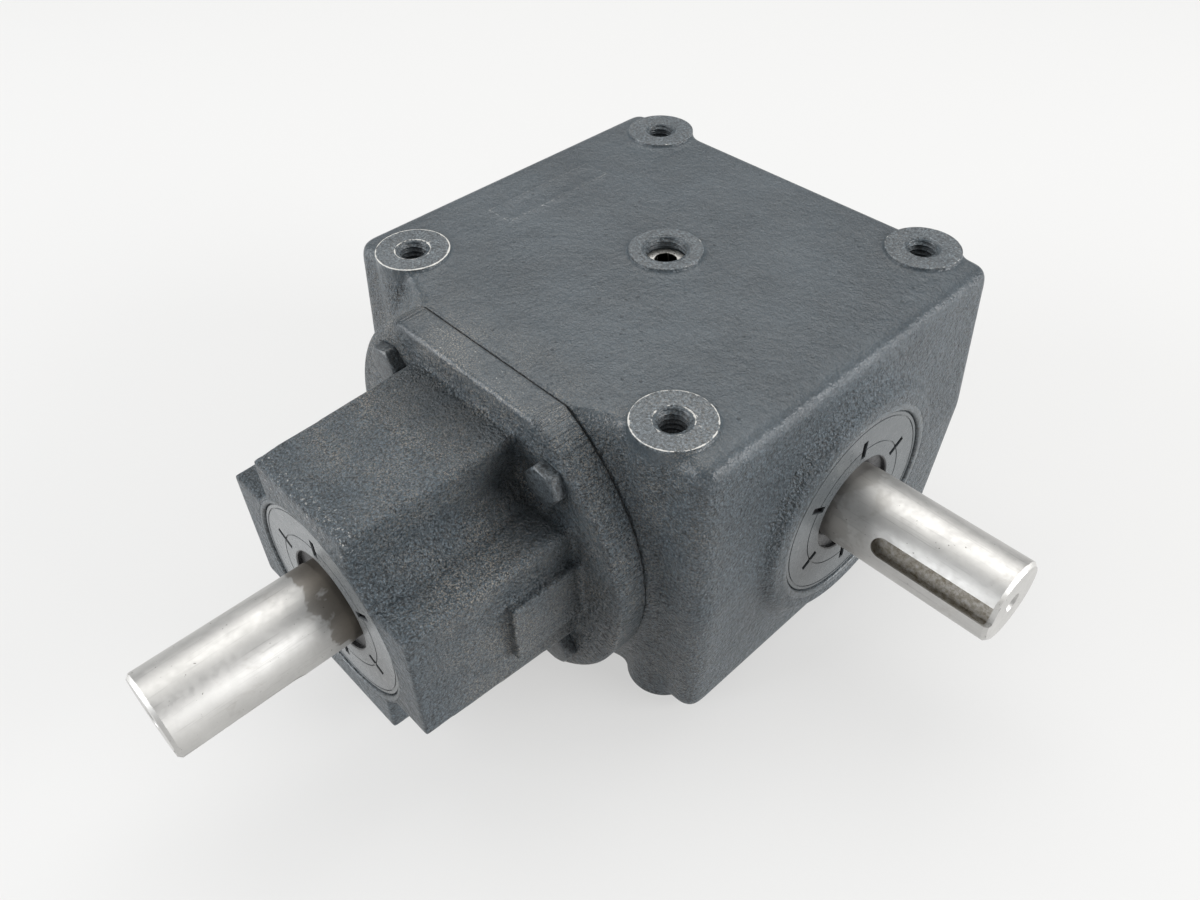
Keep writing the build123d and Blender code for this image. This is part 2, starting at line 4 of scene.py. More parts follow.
import bmesh
import bpy
import numpy as np
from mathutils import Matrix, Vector


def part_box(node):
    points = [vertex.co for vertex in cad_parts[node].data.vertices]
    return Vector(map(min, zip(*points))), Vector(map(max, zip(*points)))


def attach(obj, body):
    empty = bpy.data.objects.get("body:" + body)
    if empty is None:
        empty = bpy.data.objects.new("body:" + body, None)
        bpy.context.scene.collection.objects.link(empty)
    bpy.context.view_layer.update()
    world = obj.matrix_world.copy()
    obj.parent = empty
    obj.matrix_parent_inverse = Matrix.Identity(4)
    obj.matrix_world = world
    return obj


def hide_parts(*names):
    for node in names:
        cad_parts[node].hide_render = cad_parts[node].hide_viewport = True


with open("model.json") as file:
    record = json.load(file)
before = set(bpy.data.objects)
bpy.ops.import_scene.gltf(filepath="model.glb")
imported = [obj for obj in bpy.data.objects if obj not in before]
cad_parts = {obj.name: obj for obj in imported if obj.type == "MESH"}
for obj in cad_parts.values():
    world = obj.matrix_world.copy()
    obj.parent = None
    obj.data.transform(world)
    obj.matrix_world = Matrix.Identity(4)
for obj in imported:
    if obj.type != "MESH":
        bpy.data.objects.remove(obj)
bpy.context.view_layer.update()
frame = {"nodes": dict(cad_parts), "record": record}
NODES = frame["nodes"]
MM = 0.001
AXIS_Z = 52.4                   # shaft axes above the base, millimetres like every size below
TOP_Z = 104.8
PAD_R = 11.4
PAD_REACH = 53.975              # corner pads from the middle, both ways
PADS = [(sx * PAD_REACH, sy * PAD_REACH) for sx in (-1, 1) for sy in (-1, 1)]
BOSS_X = 78.5                   # faces of the two output bosses
NOSE_Y = 131.0                  # face of the input hub
SEAL_SINK = 0.8                 # seal faces below those
SHAFT_FREE = 50.0
FLANGE_Y = 78.0                 # outer face of the hub flange
BOLT_CIRCLE_R = 48.8
HEX_ACROSS = 11.1125            # flats of a quarter inch head


# ------------------------------------------------------------------ camera, light and floor
def make_camera():
    """Looks down over the corner between the two shafts."""
    data = bpy.data.cameras.new("camera")
    data.sensor_width = 36
    data.lens = 29.986
    camera = bpy.data.objects.new("camera", data)
    tilt, roll, heading = 46.001, 1.104, 46.311
    camera.location = Vector((174.48, -189.618, 269.465)) * MM
    camera.rotation_euler = [math.radians(angle) for angle in (tilt, roll, heading)]
    data.clip_start, data.clip_end = 0.01, 10
    bpy.context.scene.collection.objects.link(camera)
    bpy.context.scene.camera = camera


def make_light(name, place, target, size, power, colour=(1, 1, 1)):
    data = bpy.data.lights.new(name, "AREA")
    data.shape = "RECTANGLE"
    data.size, data.size_y = size
    data.energy = power
    data.color = colour
    light = bpy.data.objects.new(name, data)
    light.location = Vector(place)
    light.rotation_euler = (Vector(target) - Vector(place)).to_track_quat("-Z", "Y").to_euler()
    bpy.context.scene.collection.objects.link(light)


def make_stage():
    bm = bmesh.new()
    bmesh.ops.create_grid(bm, x_segments=2, y_segments=2, size=4)
    mesh = bpy.data.meshes.new("floor")
    bm.to_mesh(mesh)
    bm.free()
    floor = bpy.data.objects.new("floor", mesh)
    floor.location.z = -0.0002
    bpy.context.scene.collection.objects.link(floor)
    material = bpy.data.materials.new("floor_paper")
    material.use_nodes = True
    shader = material.node_tree.nodes["Principled BSDF"]
    shader.inputs["Base Color"].default_value = (0.23, 0.23, 0.229, 1)
    shader.inputs["Emission Color"].default_value = (1.0, 0.996, 0.985, 1)
    shader.inputs["Emission Strength"].default_value = 0.54
    shader.inputs["Roughness"].default_value = 0.85
    mesh.materials.append(material)
    world = bpy.data.worlds.new("studio")
    world.use_nodes = True
    world.node_tree.nodes["Background"].inputs["Color"].default_value = (0.97, 0.985, 1.0, 1)
    world.node_tree.nodes["Background"].inputs["Strength"].default_value = 0.42
    bpy.context.scene.world = world
    bpy.context.scene.view_settings.view_transform = "Standard"
    centre = (0, -0.03, 0.05)
    make_light("overhead", (-0.35, 0.35, 1.1), centre, (1.3, 1.0), 11.5, (1.0, 0.99, 0.97))
    make_light("left_window", (-0.75, -1.15, 0.5), centre, (1.0, 0.8), 19, (0.96, 0.98, 1.0))
    make_light("right_fill", (1.1, 0.55, 0.45), centre, (0.8, 0.7), 18)


# ------------------------------------------------------------------ materials
class Material:
    """A procedural material: a Principled shader with a small set of node helpers."""

    def __init__(self, name):
        self.data = bpy.data.materials.new(name)
        self.data.use_nodes = True
        self.nodes = self.data.node_tree.nodes
        self.links = self.data.node_tree.links
        self.shader = self.nodes["Principled BSDF"]
        self.place = self.node("ShaderNodeTexCoord").outputs["Object"]
        self.height = None

    def node(self, kind, **values):
        made = self.nodes.new(kind)
        for key, value in values.items():
            setattr(made, key, value)
        return made

    def link(self, source, target):
        self.links.new(source, target)

    def set(self, **values):
        for key, value in values.items():
            self.shader.inputs[key.replace("_", " ")].default_value = value

    def stretch(self, scale):
        mapping = self.node("ShaderNodeMapping")
        mapping.inputs["Scale"].default_value = scale
        self.link(self.place, mapping.inputs["Vector"])
        return mapping.outputs["Vector"]

    def noise(self, size, detail=3.0, rough=0.5, place=None, distort=0.0):
        """Noise whose features are about size millimetres across."""
        made = self.node("ShaderNodeTexNoise")
        made.inputs["Scale"].default_value = 1 / (size * MM)
        made.inputs["Detail"].default_value = detail
        made.inputs["Roughness"].default_value = rough
        made.inputs["Distortion"].default_value = distort
        self.link(place or self.place, made.inputs["Vector"])
        return made.outputs["Fac"]

    def cells(self, size, place=None):
        made = self.node("ShaderNodeTexVoronoi")
        made.inputs["Scale"].default_value = 1 / (size * MM)
        self.link(place or self.place, made.inputs["Vector"])
        return made.outputs["Distance"]

    def ramp(self, source, *stops):
        made = self.node("ShaderNodeValToRGB")
        band = made.color_ramp
        while len(band.elements) < len(stops):
            band.elements.new(0.5)
        for element, (at, value) in zip(band.elements, stops):
            element.position = at
            colour = value if isinstance(value, tuple) else (value, value, value)
            element.color = (*colour, 1)
        self.link(source, made.inputs["Fac"])
        return made.outputs["Color"]

    def mix(self, factor, first, second):
        made = self.node("ShaderNodeMix", data_type="RGBA")
        for value, name in ((factor, 0), (first, 6), (second, 7)):
            target = made.inputs[name]
            if isinstance(value, (float, int)):
                target.default_value = value
            elif isinstance(value, tuple):
                target.default_value = (*value, 1)
            else:
                self.link(value, target)
        return made.outputs[2]

    def math(self, kind, first, second=0.0):
        made = self.node("ShaderNodeMath", operation=kind)
        for value, target in ((first, made.inputs[0]), (second, made.inputs[1])):
            if isinstance(value, (float, int)):
                target.default_value = value
            else:
                self.link(value, target)
        return made.outputs[0]

    def times(self, first, second):
        return self.math("MULTIPLY", first, second)

    def split(self):
        made = self.node("ShaderNodeSeparateXYZ")
        self.link(self.place, made.inputs[0])
        return made.outputs

    def radius(self, axis):
        """Distance from the output ("x") or input ("y") shaft axis, or the plug's ("z"), in metres."""
        x, y, z = self.split()
        if axis == "z":
            return self.math("SQRT", self.math("ADD", self.math("POWER", x, 2.0), self.math("POWER", y, 2.0)))
        across = self.math("POWER", y if axis == "x" else x, 2.0)
        up = self.math("POWER", self.math("SUBTRACT", z, AXIS_Z * MM), 2.0)
        return self.math("SQRT", self.math("ADD", across, up))

    def rise(self, source, start, end):
        """0 below start, 1 above end, both in millimetres; falls instead when end is below start."""
        made = self.node("ShaderNodeMapRange", interpolation_type="SMOOTHSTEP")
        made.inputs["From Min"].default_value = start * MM
        made.inputs["From Max"].default_value = end * MM
        self.link(source, made.inputs["Value"])
        return made.outputs["Result"]

    def mark(self, name):
        """A value painted on the mesh's points."""
        made = self.node("ShaderNodeAttribute", attribute_name=name)
        return made.outputs["Fac"]

    def bump(self, source, depth, strength=1.0):
        """Adds relief, depth millimetres from low to high."""
        made = self.node("ShaderNodeBump")
        if isinstance(strength, float):
            made.inputs["Strength"].default_value = strength
        else:
            self.link(strength, made.inputs["Strength"])
        made.inputs["Distance"].default_value = depth * MM
        self.link(source, made.inputs["Height"])
        if self.height is not None:
            self.link(self.height, made.inputs["Normal"])
        self.height = made.outputs["Normal"]
        self.link(self.height, self.shader.inputs["Normal"])

    def colour(self, source):
        self.link(source, self.shader.inputs["Base Color"])

    def roughness(self, source):
        self.link(source, self.shader.inputs["Roughness"])


def cast_paint(name, dark, light, grit, edges=0.0, marked=0.0, rough=(0.28, 0.44), zones=False):
    """Paint sprayed over a sand casting: orange peel, grit, pale dust and rubbed edges, with painted shade in
    the low spots of the relief and in the pits.

    edges rubs the convex edges, marked rubs where the mesh's wear value says, and zones makes the top
    smoother, gathers dust in the hub's hollows, paints shade into the corner by the flange and leaves tool
    lines on the flange rim."""
    m = Material(name)
    x, y, z = m.split()
    coarse = m.math("ADD", 0.3, m.times(m.rise(z, 103.0, 96.0), 0.7)) if zones else 1.0
    cloud = m.noise(34, 4, 0.6)
    base = m.mix(m.ramp(cloud, (0.36, 0.0), (0.66, 1.0)), dark, light)
    fine = m.ramp(m.noise(0.55, 3, 0.7), (0.46, 0.0), (0.66, 1.0))
    base = m.mix(m.times(fine, m.times(coarse, 0.72)), base, tuple(c * 3.2 for c in light))
    # painted shade: darker in the low spots of the 0.8 mm relief, from a noise that matches the 0.8 mm bump
    # below
    low_spot_shade = m.ramp(m.noise(0.8, 3, 0.65), (0.38, 1.0), (0.5, 0.0))
    base = m.mix(m.times(low_spot_shade, m.times(coarse, 0.85)), base, tuple(c * 0.25 for c in dark))
    # casting pits: the bump at the end sinks them, and painted shade darkens them
    pits = m.ramp(m.cells(3.1), (0.06, 1.0), (0.2, 0.0))
    pits = m.times(pits, m.ramp(m.noise(9, 2), (0.45, 0.0), (0.6, 1.0)))
    base = m.mix(m.times(pits, 0.6), base, tuple(c * 0.4 for c in dark))
    grains = m.ramp(m.noise(0.42, 2, 0.7), (0.53, 0.0), (0.6, 1.0))
    patch = m.ramp(m.noise(15, 3, 0.55), (0.36, 0.15), (0.62, 1.0))
    dust = m.times(grains, patch)
    if zones:
        near_hub = m.times(m.rise(y, -50.0, -74.0), m.rise(y, -131.5, -112.0))
        dust = m.times(dust, m.math("ADD", 0.12, m.times(near_hub, 0.88)))
    else:
        dust = m.times(dust, 0.3)
    base = m.mix(m.times(dust, 0.85), base, (0.26, 0.235, 0.2))
    bare = None
    if zones:
        nose_edge = m.times(m.rise(y, -119.0, -128.0), m.rise(z, 76.0, 88.0))
        flange_edge = m.times(m.rise(z, 99.5, 103.0), m.rise(y, -66.5, -68.0))
        rubbed = m.times(m.math("MAXIMUM", nose_edge, m.times(flange_edge, 0.72)), 0.17)
        chips = m.math("ADD", m.noise(0.9, 5, 0.75), rubbed)
        bare = m.ramp(chips, (0.755, 0.0), (0.81, 0.7))
        # painted shade: darker in the corner between the hub's lobes and the flange face, round the bolts
        corner = m.times(m.rise(y, -104.0, -84.0), m.rise(y, -79.0, -81.0))
        corner = m.times(corner, m.rise(m.radius("y"), 54.0, 42.0))
        base = m.mix(m.times(corner, 0.6), base, tuple(c * 0.35 for c in dark))
    if edges:
        convex = m.node("ShaderNodeNewGeometry").outputs["Pointiness"]
        patchy = m.ramp(m.noise(1.5, 4, 0.7), (0.46, 0.0), (0.6, 1.0))
        worn = m.times(m.ramp(convex, (0.53, 0.0), (0.6, edges)), patchy)
        bare = worn if bare is None else m.math("MAXIMUM", bare, worn)
    if marked:
        rubbed = m.math("ADD", m.noise(2.4, 5, 0.75), m.times(m.mark("wear"), marked))
        chips = m.ramp(rubbed, (0.78, 0.0), (0.86, 1.0))
        bare = chips if bare is None else m.math("MAXIMUM", bare, chips)
    if bare is not None:
        base = m.mix(bare, base, (0.52, 0.51, 0.48))
    m.colour(base)
    m.roughness(m.ramp(m.noise(2.0, 4, 0.6), (0.3, rough[0]), (0.7, rough[1])))
    if zones:
        rim = m.times(m.rise(m.radius("y"), 57.2, 58.2), m.rise(y, -66.0, -68.5))
        m.bump(m.noise(0.8, 2, 0.4, m.stretch((1.0, 0.05, 1.0))), 1.8, rim)
    m.bump(m.noise(8.0, 2, 0.5), 0.4 * grit)
    m.bump(m.noise(2.1, 3, 0.6), 1.5 * grit, coarse)
    m.bump(m.noise(0.8, 3, 0.6), 0.9 * grit, coarse)
    m.bump(pits, -0.15 * grit)
    m.set(Specular_IOR_Level=0.5)
    return m.data


def seal_paint(name, axis, face, dark, light):
    """Painted metal face, dark rubber towards the shaft and painted shade, near black, in the slots below the
    face.
    """
    m = Material(name)
    away = m.radius(axis)
    depth = m.math("ABSOLUTE", m.split()["xy".index(axis)])
    # near black: real rubber at the lip, and painted shade in the slots recessed below the face
    rubber_and_slot_shade = m.math("MAXIMUM", m.rise(away, 16.4, 16.1), m.rise(depth, face - 0.35, face - 0.7))
    paint = m.mix(m.noise(5, 4, 0.6), dark, light)
    scuffs = m.ramp(m.noise(1.2, 5, 0.75), (0.62, 0.0), (0.7, 0.5))
    paint = m.mix(scuffs, paint, (0.3, 0.3, 0.29))
    m.colour(m.mix(rubber_and_slot_shade, paint, (0.018, 0.018, 0.02)))
    m.roughness(m.ramp(m.noise(2.0, 3, 0.6), (0.3, 0.22), (0.7, 0.36)))
    m.bump(m.noise(0.8, 3, 0.5), 0.04)
    return m.data


def brushed(name, axis, bright, grain=1.0, rough=(0.42, 0.56), stain=None, inner_end=None):
    """Turned and ground steel: fine rings round the axis, scratches along it and faint stains.

    inner_end is (from, to, strength) of the oxide beside a seal, and says that the shaft has a keyway."""
    m = Material(name)
    across = [0.05, 0.05, 0.05]
    across["xyz".index(axis)] = 1.0
    rings = m.noise(0.2, 2, 0.5, m.stretch(tuple(across)))
    along = [1.0, 1.0, 1.0]
    along["xyz".index(axis)] = 0.03
    scores = m.noise(0.6, 3, 0.6, m.stretch(tuple(along)))
    base = m.mix(m.ramp(m.noise(9, 4, 0.6), (0.35, 0.0), (0.7, 1.0)), tuple(c * 0.88 for c in bright), bright)
    base = m.mix(m.ramp(scores, (0.58, 0.0), (0.72, 0.5)), base, tuple(c * 0.62 for c in bright))
    if stain:
        spots = m.ramp(m.noise(stain, 5, 0.7, distort=0.5), (0.62, 0.0), (0.68, 0.16), (0.76, 0.4))
        base = m.mix(spots, base, (0.24, 0.21, 0.17))
        nicks = m.ramp(m.noise(1.1, 2, 0.5), (0.72, 0.0), (0.76, 0.7))
        base = m.mix(nicks, base, (0.1, 0.09, 0.08))
    if inner_end:
        start, end, strength = inner_end
        near = m.rise(m.split()["xy".index(axis)], end, start)
        blotch = m.math("ADD", m.noise(13, 4, 0.6, distort=0.4), m.times(near, 0.3))
        oxide = m.ramp(blotch, (0.69, 0.0), (0.735, strength))
        base = m.mix(m.times(oxide, near), base, (0.17, 0.145, 0.115))
        away = m.radius(axis)
        tip = abs(start) + SHAFT_FREE
        reach = m.math("ABSOLUTE", m.split()["xy".index(axis)])
        below_skin, above_core = (12.3, 11.9), (8.5, 9.2)
        floor = m.times(m.rise(away, *below_skin), m.rise(away, *above_core))
        floor = m.times(floor, m.rise(reach, tip, tip - 0.4))
        grime = m.ramp(m.noise(1.4, 5, 0.75), (0.35, 0.35), (0.65, 0.95))
        base = m.mix(m.times(floor, grime), base, (0.17, 0.145, 0.105))
    m.colour(base)
    m.roughness(m.ramp(m.noise(1.6, 4, 0.65), (0.3, rough[0]), (0.7, rough[1])))
    m.bump(rings, 0.006 * grain)
    m.bump(scores, 0.008 * grain)
    m.set(Metallic=1.0)
    return m.data


def plug_steel(name):
    """Bright plated plug, near black inside its hex socket as painted shade."""
    m = Material(name)
    # painted shade: near black inside the hex socket
    socket = m.rise(m.radius("z"), 3.62, 3.4)
    bright = m.mix(m.noise(1.5, 4, 0.7), (0.5, 0.49, 0.46), (0.72, 0.71, 0.69))
    m.colour(m.mix(socket, bright, (0.02, 0.018, 0.016)))
    m.roughness(m.ramp(m.noise(0.8, 3, 0.6), (0.3, 0.25), (0.7, 0.42)))
    m.bump(m.noise(0.5, 2, 0.5), 0.03)
    m.set(Metallic=1.0)
    return m.data


def dull_sheet(name, dark, light):
    m = Material(name)
    m.colour(m.mix(m.noise(1.1, 4, 0.7), dark, light))
    m.roughness(m.ramp(m.noise(0.7, 3, 0.6), (0.3, 0.6), (0.7, 0.85)))
    m.bump(m.noise(0.5, 3, 0.6), 0.05)
    return m.data


# ------------------------------------------------------------------ mesh helpers
def new_piece(name, bm, material, body):
    mesh = bpy.data.meshes.new(name)
    bm.normal_update()
    bm.to_mesh(mesh)
    bm.free()
    piece = bpy.data.objects.new(name, mesh)
    bpy.context.scene.collection.objects.link(piece)
    mesh.materials.append(material)
    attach(piece, body)
    return piece


def lathe(rows, steps, place):
    """A mesh turned from rows of (radius, height); place(radius, angle, height) gives a point."""
    bm = bmesh.new()
    grid = []
    for radius, height in rows:
        ring = []
        for i in range(steps):
            ring.append(bm.verts.new(Vector(place(radius, 2 * math.pi * i / steps, height)) * MM))
        grid.append(ring)
    for a, b in zip(grid, grid[1:]):
        for i in range(steps):
            j = (i + 1) % steps
            bm.faces.new((a[i], a[j], b[j], b[i]))
    bmesh.ops.recalc_face_normals(bm, faces=bm.faces)
    return bm


def shade_smooth(piece, degrees):
    piece.data.shade_smooth()
    bpy.context.view_layer.objects.active = piece
    piece.select_set(True)
    bpy.ops.object.shade_auto_smooth(angle=math.radians(degrees))
    piece.select_set(False)


# ------------------------------------------------------------------ cast skins
def remeshed(node, name, voxel, body, keep, passes, seat):
    """A copy of a cast CAD node with its casting edges softened.

    keep(points) is 1 where a surface stays as machined, and seat(points) moves the finished points."""
    source = NODES[node]
    piece = bpy.data.objects.new(name, source.data.copy())
    bpy.context.scene.collection.objects.link(piece)
    modifier = piece.modifiers.new("voxels", "REMESH")
    modifier.mode = "VOXEL"
    modifier.voxel_size = voxel * MM
    graph = bpy.context.evaluated_depsgraph_get()
    mesh = bpy.data.meshes.new_from_object(piece.evaluated_get(graph))
    piece.modifiers.clear()
    piece.data = mesh
    count = len(mesh.vertices)
    points = np.empty(count * 3)
    mesh.vertices.foreach_get("co", points)
    points = points.reshape(-1, 3)
    edges = np.empty(len(mesh.edges) * 2, dtype=np.int64)
    mesh.edges.foreach_get("vertices", edges)
    a, b = edges.reshape(-1, 2).T
    degree = np.bincount(a, minlength=count) + np.bincount(b, minlength=count)
    free = (1 - keep(points / MM))[:, None]
    pull = 0.55
    for _ in range(passes):
        total = np.empty_like(points)
        for k in range(3):
            total[:, k] = np.bincount(a, points[b, k], count) + np.bincount(b, points[a, k], count)
        points = points + pull * free * (total / degree[:, None] - points)
    low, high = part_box(node)
    points = seat(np.clip(points, np.array(low), np.array(high)) / MM) * MM
    mesh.vertices.foreach_set("co", points.ravel())
    mesh.update()
    mesh.shade_smooth()
    mesh.materials.clear()
    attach(piece, body)
    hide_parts(node)
    return piece


def fade(value, start, end):
    """0 at start, 1 at end, smooth between."""
    t = np.clip((value - start) / (end - start), 0, 1)
    return t * t * (3 - 2 * t)


def housing_keep(p):
    """Keeps the bores, the boss, joint and pad faces, the tapped holes and the cavity inside."""
    bore_r, bore_from = 32.5, 60
    boss_r, boss_x = (36.0, 37.6), (76.0, 77.6)
    joint_y = (65.6, 67.0)
    pad_r, pad_up = (12.0, 13.0), (50.7, 51.4)
    tap_r, tap_from = 7.2, 28
    cavity_x, cavity_y, cavity_up = 61, 51, 44.5
    x, y, z = p.T
    up = z - AXIS_Z
    keep = np.zeros(len(p))
    around = np.hypot(y, up)
    keep = np.maximum(keep, (np.abs(x) > bore_from) * (around < bore_r))
    keep = np.maximum(keep, (1 - fade(around, *boss_r)) * fade(np.abs(x), *boss_x))
    keep = np.maximum(keep, fade(-y, *joint_y))
    pad = np.full(len(p), 1e9)
    for cx, cy in PADS + [(0, 0)]:
        pad = np.minimum(pad, np.hypot(x - cx, y - cy))
    face = fade(np.abs(up), *pad_up)
    keep = np.maximum(keep, face * (1 - fade(pad, *pad_r)))
    keep = np.maximum(keep, (pad < tap_r) * (np.abs(up) > tap_from))
    inside = (np.abs(x) < cavity_x) & (np.abs(y) < cavity_y) & (np.abs(up) < cavity_up)
    return np.maximum(keep, inside)


def hub_keep(p):
    """Keeps the bore and the flange face, and most of the side pad and the flange rim."""
    bore_r = 31.8
    flange_y = (76.5, 77.8)
    pad_x, pad_from, pad_to, pad_up, pad_share = 42.6, 79.5, 103.5, 11.3, 0.85
    rim_r, rim_up, rim_share = 55.5, 48.8, 0.9
    x, y, z = p.T
    up = z - AXIS_Z
    around = np.hypot(x, up)
    keep = np.zeros(len(p))
    keep = np.maximum(keep, around < bore_r)
    keep = np.maximum(keep, 1 - fade(-y, *flange_y))
    side_pad = (x > pad_x) & (y > -pad_to) & (y < -pad_from) & (np.abs(up) < pad_up)
    keep = np.maximum(keep, side_pad * pad_share)
    rim = (around > rim_r) | (np.abs(up) > rim_up)
    return np.maximum(keep, rim * rim_share)


def housing_seat(p):
    """Lowers the skin under the crisp pad and bore rims that are added over it."""
    pad_r, pad_up, pad_drop = 11.2, 52.1, 0.25
    bore_r, bore_x, bore_drop = 33.0, 77.9, 0.3
    for cx, cy in PADS + [(0, 0)]:
        for way in (-1, 1):
            up = (p[:, 2] - AXIS_Z) * way
            here = (np.hypot(p[:, 0] - cx, p[:, 1] - cy) < pad_r) & (up > pad_up)
            p[here, 2] -= pad_drop * way
    around = np.hypot(p[:, 1], p[:, 2] - AXIS_Z)
    for way in (-1, 1):
        here = (around < bore_r) & (p[:, 0] * way > bore_x)
        p[here, 0] -= bore_drop * way
    return p


def hub_seat(p):
    """Does the same under the bore rim of the hub."""
    bore_r, face_y, drop = 32.3, 130.4, 0.3
    around = np.hypot(p[:, 0], p[:, 2] - AXIS_Z)
    here = (around < bore_r) & (p[:, 1] < -face_y)
    p[here, 1] += drop
    return p


# ------------------------------------------------------------------ machined pads with their threads
def thread_rows(major, minor, pitch, top, bottom, step=0.13):
    """Rows for a tapped hole; the third value says that the row's radius follows the thread."""
    count = int((top - bottom) / step)
    return [(major, top - (top - bottom) * i / count, (minor, pitch)) for i in range(count + 1)]


def thread_radius(radius, height, angle, cut):
    if cut is None:
        return radius
    minor, pitch = cut
    turn = (height / pitch - angle / (2 * math.pi)) % 1.0
    slope, flat = 1.3, 0.15
    crest = min(1.0, max(0.0, abs(2 * turn - 1) * slope - flat))
    return minor + (radius - minor) * crest


def pad(name, centre, way, hole, rows_below, wear, material):
    """One machined pad: rounded rim, flat face, chamfered and tapped hole."""
    top = TOP_Z if way > 0 else 0.0
    rim = [(0.1, -1.45), (0.0, -0.5), (0.02, -0.2), (0.12, -0.05), (0.28, 0)]
    rows = [(PAD_R - inset, height, None) for inset, height in rim]
    rows += [(10.8, 0, None), (9.6, 0, None), (8.4, 0, None), (hole + 0.75, 0, None), (hole + 0.6, 0, None)]
    rows += [(hole + 0.5, -0.04, None), (hole - 0.05, -0.6, None)] + rows_below
    rubbed = {2: 0.35, 3: 1.0, 4: 1.0, 5: 0.35, 6: 0.12, 7: 0.1, 8: 0.4, 9: 0.75, 10: 0.8}

    def place(row, angle):
        radius, height, cut = row
        turned = thread_radius(radius, height, angle, cut)
        x, y = centre[0] + turned * math.cos(angle), centre[1] + turned * math.sin(angle)
        return (x, y, top + way * height)

    bm = bmesh.new()
    layer = bm.verts.layers.float.new("wear")
    steps, grid = 72, []
    for index, row in enumerate(rows):
        ring = []
        for i in range(steps):
            point = bm.verts.new(Vector(place(row, 2 * math.pi * i / steps)) * MM)
            point[layer] = rubbed.get(index, 0.0) * wear
            ring.append(point)
        grid.append(ring)
    for a, b in zip(grid, grid[1:]):
        for i in range(steps):
            j = (i + 1) % steps
            bm.faces.new((a[i], a[j], b[j], b[i]) if way > 0 else (b[i], b[j], a[j], a[i]))
    piece = new_piece(name, bm, material, "case")
    shade_smooth(piece, 35)


def build_pads(material):
    drill = 3.97
    deep = thread_rows(major=4.76, minor=drill, pitch=1.5875, top=-0.75, bottom=-18.6)
    deep += [(drill, -19.0, None), (drill, -30.0, None)]
    pipe = thread_rows(major=6.76, minor=6.05, pitch=1.411, top=-0.75, bottom=-3.98)
    corner_hole, plug_hole, plug_wear = 4.9, 6.95, 0.4
    rubbed = {(-1, -1): 1.0, (1, -1): 0.82, (1, 1): 0.5, (-1, 1): 0.42}
    for way, side in ((1, "top"), (-1, "base")):
        for cx, cy in PADS:
            corner = (int(math.copysign(1, cx)), int(math.copysign(1, cy)))
            where = f"{'left' if cx < 0 else 'right'}_{'front' if cy < 0 else 'back'}"
            pad(f"{side}_pad_{where}", (cx, cy), way, corner_hole, deep, rubbed[corner], material)
        pad(f"{side}_pad_plug", (0, 0), way, plug_hole, pipe, plug_wear, material)


def build_bore_rims(material):
    """Crisp chamfered edges where the seals and the cap sit."""
    edge = [(31.02, -6.0), (31.02, -0.55), (31.35, -0.12), (31.6, -0.02), (32.0, 0.0)]
    boss_lip, nose_lip = [(33.2, 0.0), (33.6, -0.35)], [(32.2, 0.0), (32.5, -0.35)]
    rims = (
        ("output_bore_rim", 1, 0, BOSS_X, boss_lip),
        ("rear_bore_rim", -1, 0, BOSS_X, boss_lip),
        ("hub_bore_rim", 0, -1, NOSE_Y, nose_lip),
    )
    for name, ax, ay, face, lip in rims:

        def place(radius, angle, height):
            along = face + height
            a, b = radius * math.cos(angle), radius * math.sin(angle)
            return (along * ax + a * ay, along * ay - a * ax, AXIS_Z + b)

        piece = new_piece(name, lathe(edge + lip, 128, place), material, "case")
        shade_smooth(piece, 30)


# ------------------------------------------------------------------ hex heads
def build_heads(material):
    """Four bolts: a shank, then a hexagon that a turned chamfer cuts down towards its top."""
    steps = 72
    rows = [(3.16, -19.0), (3.16, 0.0), (9, 0.0), (9, 0.25), (9, 3.15), (6.2, 3.3), (5.95, 3.5)]
    rows += [(5.6, 3.75), (5.3, 3.93), (5.1, 4.0), (2.5, 3.97), (0.01, 3.97)]
    bm = bmesh.new()
    for sx, sz, lean in ((1, 1, -8), (-1, 1, 10), (-1, -1, 24), (1, -1, 2)):
        cx = sx * BOLT_CIRCLE_R * math.cos(math.pi / 4)
        cz = AXIS_Z + sz * BOLT_CIRCLE_R * math.sin(math.pi / 4)
        grid = []
        for limit, height in rows:
            ring = []
            for i in range(steps):
                angle = 2 * math.pi * i / steps
                hexagon = HEX_ACROSS / 2 / math.cos((angle % (math.pi / 3)) - math.pi / 6)
                radius = min(limit, hexagon)
                turned = angle + math.radians(lean)
                spot = (cx + radius * math.cos(turned), -FLANGE_Y - height, cz + radius * math.sin(turned))
                ring.append(bm.verts.new(Vector(spot) * MM))
            grid.append(ring)
        for a, b in zip(grid, grid[1:]):
            for i in range(steps):
                j = (i + 1) % steps
                bm.faces.new((a[i], a[j], b[j], b[i]))
        bm.faces.new(grid[-1])
        bm.faces.new(list(reversed(grid[0])))
    bmesh.ops.recalc_face_normals(bm, faces=bm.faces)
    piece = new_piece("hex_heads", bm, material, "case")
    shade_smooth(piece, 22)
    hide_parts("hub_bolts")


def build_blank_frame(material):
    """The low raised frame on the top, left blank."""
    (cx, cy), half_x, half_y, foot = (-51.8, -0.8), 4.8, 21.0, 103.27
    section = [(-0.55, 0.0), (-0.3, 0.26), (0.3, 0.26), (0.55, 0.0)]
    corners = [(-1, -1), (1, -1), (1, 1), (-1, 1)]
    bm = bmesh.new()
    grid = []
    for sx, sy in corners:
        grid.append([
            bm.verts.new(Vector((cx + sx * (half_x + out), cy + sy * (half_y + out), foot + rise)) * MM)
            for out, rise in section
        ])
    for k in range(4):
        a, b = grid[k], grid[(k + 1) % 4]
        for i in range(3):
            bm.faces.new((a[i], b[i], b[i + 1], a[i + 1]))
    bmesh.ops.recalc_face_normals(bm, faces=bm.faces)
    new_piece("blank_frame", bm, material, "case")


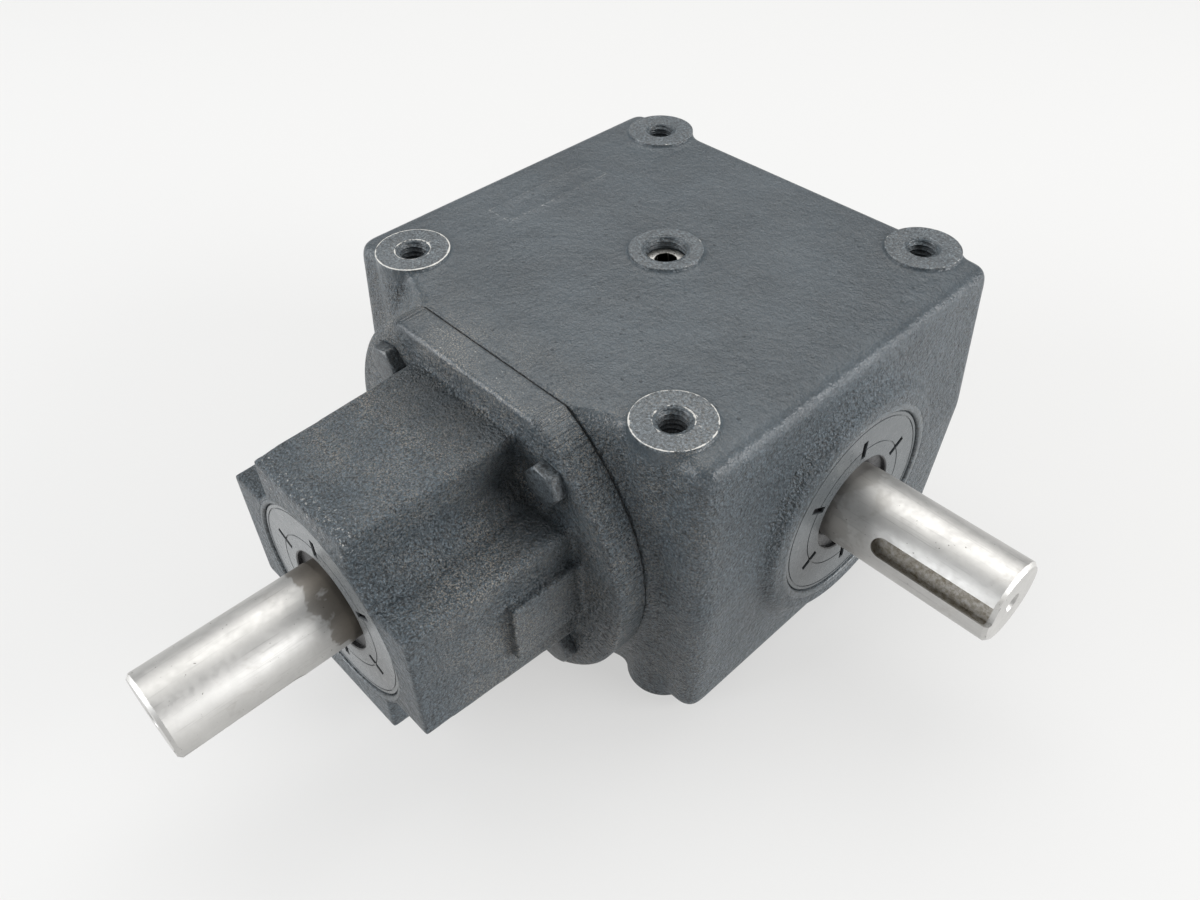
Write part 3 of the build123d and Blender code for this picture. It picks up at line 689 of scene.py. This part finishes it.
def build_skins(paint):
    case = remeshed("housing", "cast_case", 0.65, "case",
                    keep=housing_keep, passes=18, seat=housing_seat)
    hub = remeshed("input_hub", "cast_hub", 0.55, "case",
                   keep=hub_keep, passes=7, seat=hub_seat)
    for piece in (case, hub):
        piece.data.materials.append(paint)


make_camera()
make_stage()
DARK, LIGHT = (0.027, 0.036, 0.043), (0.046, 0.059, 0.069)
PAINT = cast_paint("cast_paint", DARK, LIGHT, 1.0, edges=0.35, zones=True)
SMOOTH = cast_paint("pad_paint", (0.036, 0.044, 0.05), (0.06, 0.071, 0.079), 0.12, marked=0.46)
HEADS = cast_paint("head_paint", (0.028, 0.034, 0.039), (0.044, 0.052, 0.058), 0.1)
# painted light: one kind of seal in two tones, the input seal's face a lit copy painted lighter, the output
# seal's a shaded copy painted darker
SEAL_X_SHADED = seal_paint("output_seal_face_shaded", "x", BOSS_X - SEAL_SINK, (0.06, 0.069, 0.075), (0.1, 0.109, 0.114))
SEAL_Y_LIT = seal_paint("input_seal_face_lit", "y", NOSE_Y - SEAL_SINK, (0.115, 0.124, 0.13), (0.18, 0.188, 0.192))
SHAFT_X = brushed("output_shaft_steel", "x", (0.58, 0.572, 0.555), stain=15, inner_end=(78.0, 100.0, 0.3))
SHAFT_Y = brushed("input_shaft_steel", "y", (0.58, 0.572, 0.555), stain=17, inner_end=(-131.0, -149.0, 0.85))
PLUG = plug_steel("plug_steel")
GEAR = brushed("gear_steel", "x", (0.40, 0.40, 0.42))
RACE = brushed("race_steel", "x", (0.68, 0.68, 0.70), 0.3)
CAGE = brushed("cage_steel", "x", (0.60, 0.52, 0.36), 0.5)
RINGS = brushed("spring_steel", "x", (0.16, 0.16, 0.17))
TURNED = brushed("turned_steel", "x", (0.52, 0.52, 0.53))
GASKET = dull_sheet("gasket_sheet", (0.016, 0.016, 0.017), (0.035, 0.034, 0.032))
FINISH = {
    "case_paint": PAINT, "cover_paint": SMOOTH, "bolt_paint": HEADS, "plug_steel": PLUG, "gear_steel": GEAR,
    "bearing_steel": RACE, "cage_steel": CAGE, "spring_steel": RINGS, "turned_steel": TURNED,
    "gasket": GASKET,
}
SLOTS = {s["node"]: s["material_slot"] for s in frame["record"]["subparts"]}
OWN = {"output_shaft": SHAFT_X, "input_shaft": SHAFT_Y, "output_seal": SEAL_X_SHADED, "input_seal": SEAL_Y_LIT}
for node, item in NODES.items():
    material = OWN.get(node) or FINISH[SLOTS[node]]
    item.data.materials.clear()
    item.data.materials.append(material)
build_skins(PAINT)
build_pads(SMOOTH)
build_bore_rims(SMOOTH)
build_heads(HEADS)
build_blank_frame(PAINT)
